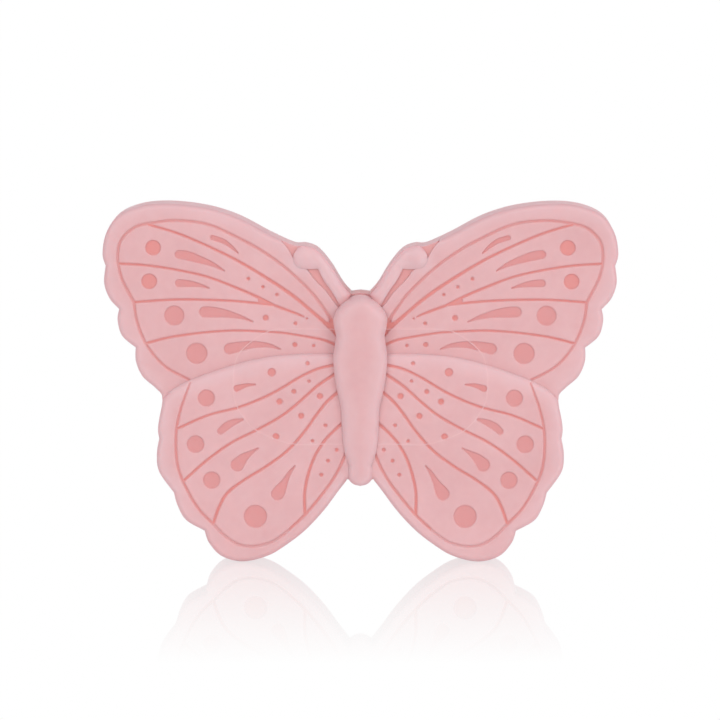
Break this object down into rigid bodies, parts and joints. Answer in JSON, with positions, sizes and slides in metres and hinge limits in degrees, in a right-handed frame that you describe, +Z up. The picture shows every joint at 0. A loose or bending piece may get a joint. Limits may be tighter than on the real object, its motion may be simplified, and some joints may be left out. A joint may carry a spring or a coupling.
{
  "type": "butterfly teether",
  "caption": "Upright butterfly-shaped soft teether with scalloped wings, engraved veins and spots, a rounded body and two clubbed antennae on a flat back.",
  "frame": {"origin": "bottom centre of the bounding box, on the surface that the two lower lobes stand on", "axes": "+X to the viewer's right along the wing span, -Y out of the relief face, +Y out of the flat back, +Z up"},
  "size_m": [0.0848, 0.014, 0.059],
  "materials": {
    "silicone": "satin, slightly translucent pink silicone"
  },
  "bodies": {
    "root": {"back_plate": "silicone", "body": "silicone", "fore_wing_right": "silicone", "fore_wing_left": "silicone", "hind_wing_right": "silicone", "hind_wing_left": "silicone", "antenna_right": "silicone", "antenna_left": "silicone"}
  },
  "joints": []
}
